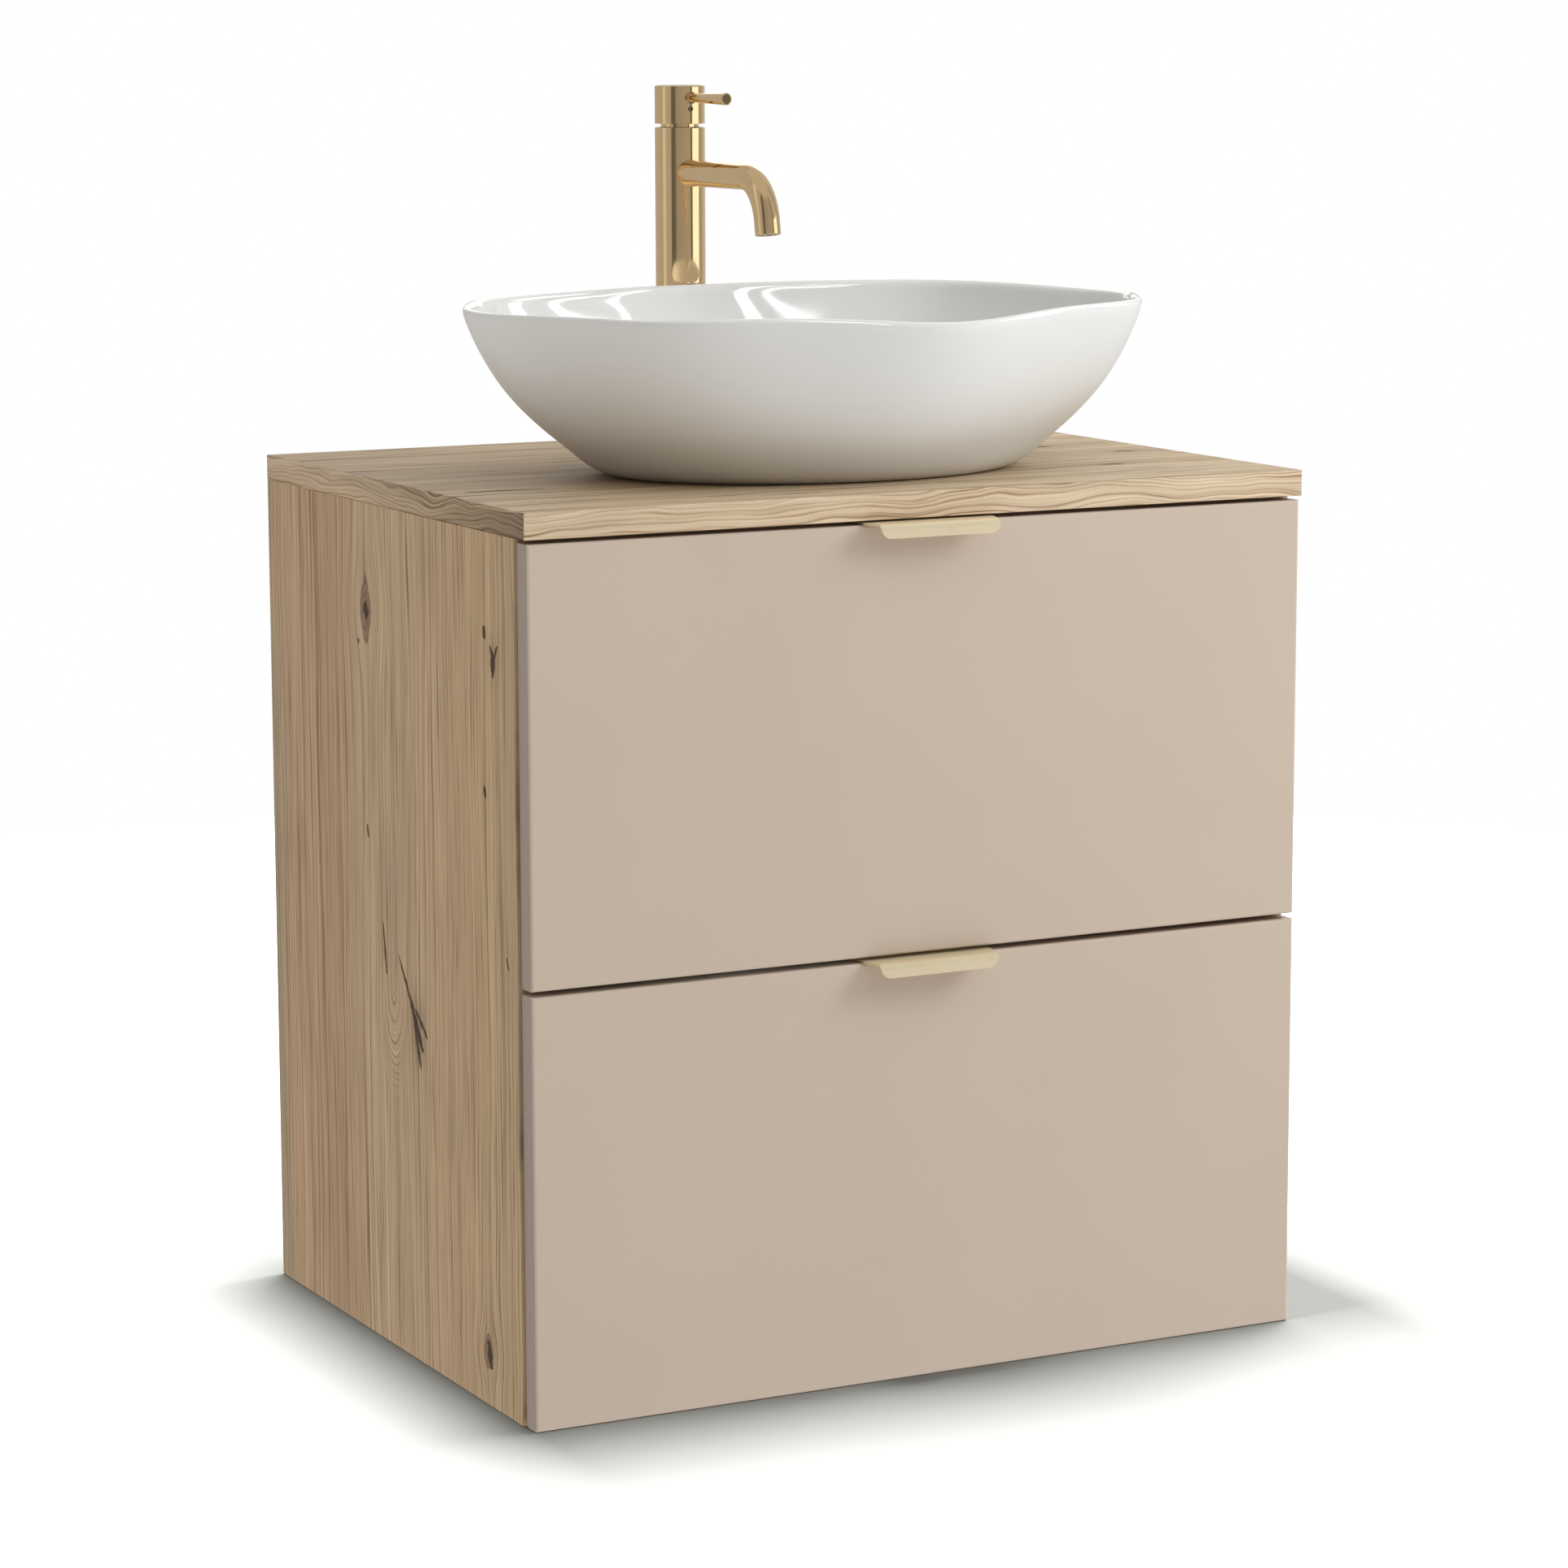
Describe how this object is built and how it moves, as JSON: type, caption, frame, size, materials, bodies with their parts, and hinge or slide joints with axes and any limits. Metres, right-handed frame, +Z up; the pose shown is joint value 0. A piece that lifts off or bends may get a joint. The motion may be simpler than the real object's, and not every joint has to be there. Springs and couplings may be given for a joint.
{
  "type": "vessel sink on vanity",
  "caption": "Compact bathroom vanity with wood-look carcass, two plain drawers with edge-pull handles, a lobed oval vessel basin and a tall single-lever tap.",
  "frame": {"origin": "under the middle of the whole outline, on the plane the cabinet stands on", "axes": "+Z up, -Y towards the user (the way the drawers open), +X to the user's right"},
  "size_m": [0.6, 0.478, 0.884],
  "materials": {
    "side_laminate": "matt, fine upright grain",
    "worktop_laminate": "matt, grain along X",
    "edge_banding": "matt, grain along the edge",
    "carcass_board": "matt laminate",
    "front_lacquer": "matt taupe lacquer on board",
    "handle_brass": "satin champagne",
    "drawer_board": "matt light grey-beige",
    "runner_steel": "zinc plated",
    "zinc_steel": "bright zinc",
    "basin_glaze": "gloss white",
    "rubber_seal": "matt black",
    "waste_gold": "brushed gold",
    "trap_plastic": "white polypropylene",
    "cartridge_plastic": "grey nylon",
    "aerator_plastic": "off-white acetal",
    "tap_inner_steel": "turned steel",
    "raw_brass": "machined",
    "tap_gold": "polished light gold"
  },
  "bodies": {
    "cabinet": {"back_rail_lower": "carcass_board", "back_rail_upper": "carcass_board", "basin": "basin_glaze", "bottom_panel": "carcass_board", "cam_locks": "zinc_steel", "front_rail": "carcass_board", "hanger_left": "zinc_steel", "hanger_right": "zinc_steel", "lower_runner_rails": "runner_steel", "panel_screws": "zinc_steel", "side_panel_left": "side_laminate", "side_panel_right": "side_laminate", "tap_aerator": "aerator_plastic", "tap_base_ring": "tap_gold", "tap_body": "tap_gold", "tap_cartridge": "cartridge_plastic", "tap_fixing_nut": "raw_brass", "tap_shank": "raw_brass", "tap_spout": "tap_gold", "trap_body": "trap_plastic", "trap_cup": "trap_plastic", "trap_inlet_nut": "trap_plastic", "trap_outlet_nut": "trap_plastic", "trap_outlet_pipe": "trap_plastic", "trap_tail": "trap_plastic", "upper_runner_rails": "runner_steel", "waste_body": "waste_gold", "waste_nut": "trap_plastic", "waste_seals": "rubber_seal", "worktop": "worktop_laminate", "worktop_edging": "edge_banding", "worktop_screws": "zinc_steel"},
    "upper_drawer": {"upper_back_left": "drawer_board", "upper_back_right": "drawer_board", "upper_bottom": "drawer_board", "upper_drawer_screws": "zinc_steel", "upper_front": "front_lacquer", "upper_handle": "handle_brass", "upper_notch_front": "drawer_board", "upper_notch_left": "drawer_board", "upper_notch_right": "drawer_board", "upper_runner_slides": "runner_steel", "upper_side_left": "drawer_board", "upper_side_right": "drawer_board"},
    "lower_drawer": {"lower_back": "drawer_board", "lower_bottom": "drawer_board", "lower_drawer_screws": "zinc_steel", "lower_front": "front_lacquer", "lower_handle": "handle_brass", "lower_runner_slides": "runner_steel", "lower_side_left": "drawer_board", "lower_side_right": "drawer_board"},
    "upper_runner": {"upper_runner_middles": "runner_steel"},
    "lower_runner": {"lower_runner_middles": "runner_steel"},
    "mixer_collar": {"tap_swivel_collar": "tap_inner_steel"},
    "mixer_handle": {"tap_spindle": "tap_inner_steel", "tap_handle_cap": "tap_gold", "tap_lever": "tap_gold", "tap_set_screw": "tap_inner_steel"},
    "plug": {"waste_plug": "waste_gold"}
  },
  "joints": [
    {"name": "upper_drawer_slide", "type": "slide", "parent": "cabinet", "child": "upper_drawer", "axis": [0, -1, 0], "range_m": [0, 0.36]},
    {"name": "upper_runner_slide", "type": "slide", "parent": "cabinet", "child": "upper_runner", "axis": [0, -1, 0], "range_m": [0, 0.18]},
    {"name": "lower_drawer_slide", "type": "slide", "parent": "cabinet", "child": "lower_drawer", "axis": [0, -1, 0], "range_m": [0, 0.36]},
    {"name": "lower_runner_slide", "type": "slide", "parent": "cabinet", "child": "lower_runner", "axis": [0, -1, 0], "range_m": [0, 0.18]},
    {"name": "mixer_turn", "type": "hinge", "parent": "cabinet", "child": "mixer_collar", "pos_m": [0, 0.161, 0.8575], "axis": [0, 0, 1], "range_deg": [-50, 50]},
    {"name": "mixer_lift", "type": "hinge", "parent": "mixer_collar", "child": "mixer_handle", "pos_m": [0, 0.161, 0.8575], "axis": [-1, 0, 0], "range_deg": [0, 18]},
    {"name": "plug_lift", "type": "slide", "parent": "cabinet", "child": "plug", "axis": [0, 0, 1], "range_m": [0, 0.008]}
  ],
  "couplings": [
    {"joint": "upper_runner_slide", "follows": "upper_drawer_slide", "ratio": 0.5},
    {"joint": "lower_runner_slide", "follows": "lower_drawer_slide", "ratio": 0.5}
  ]
}
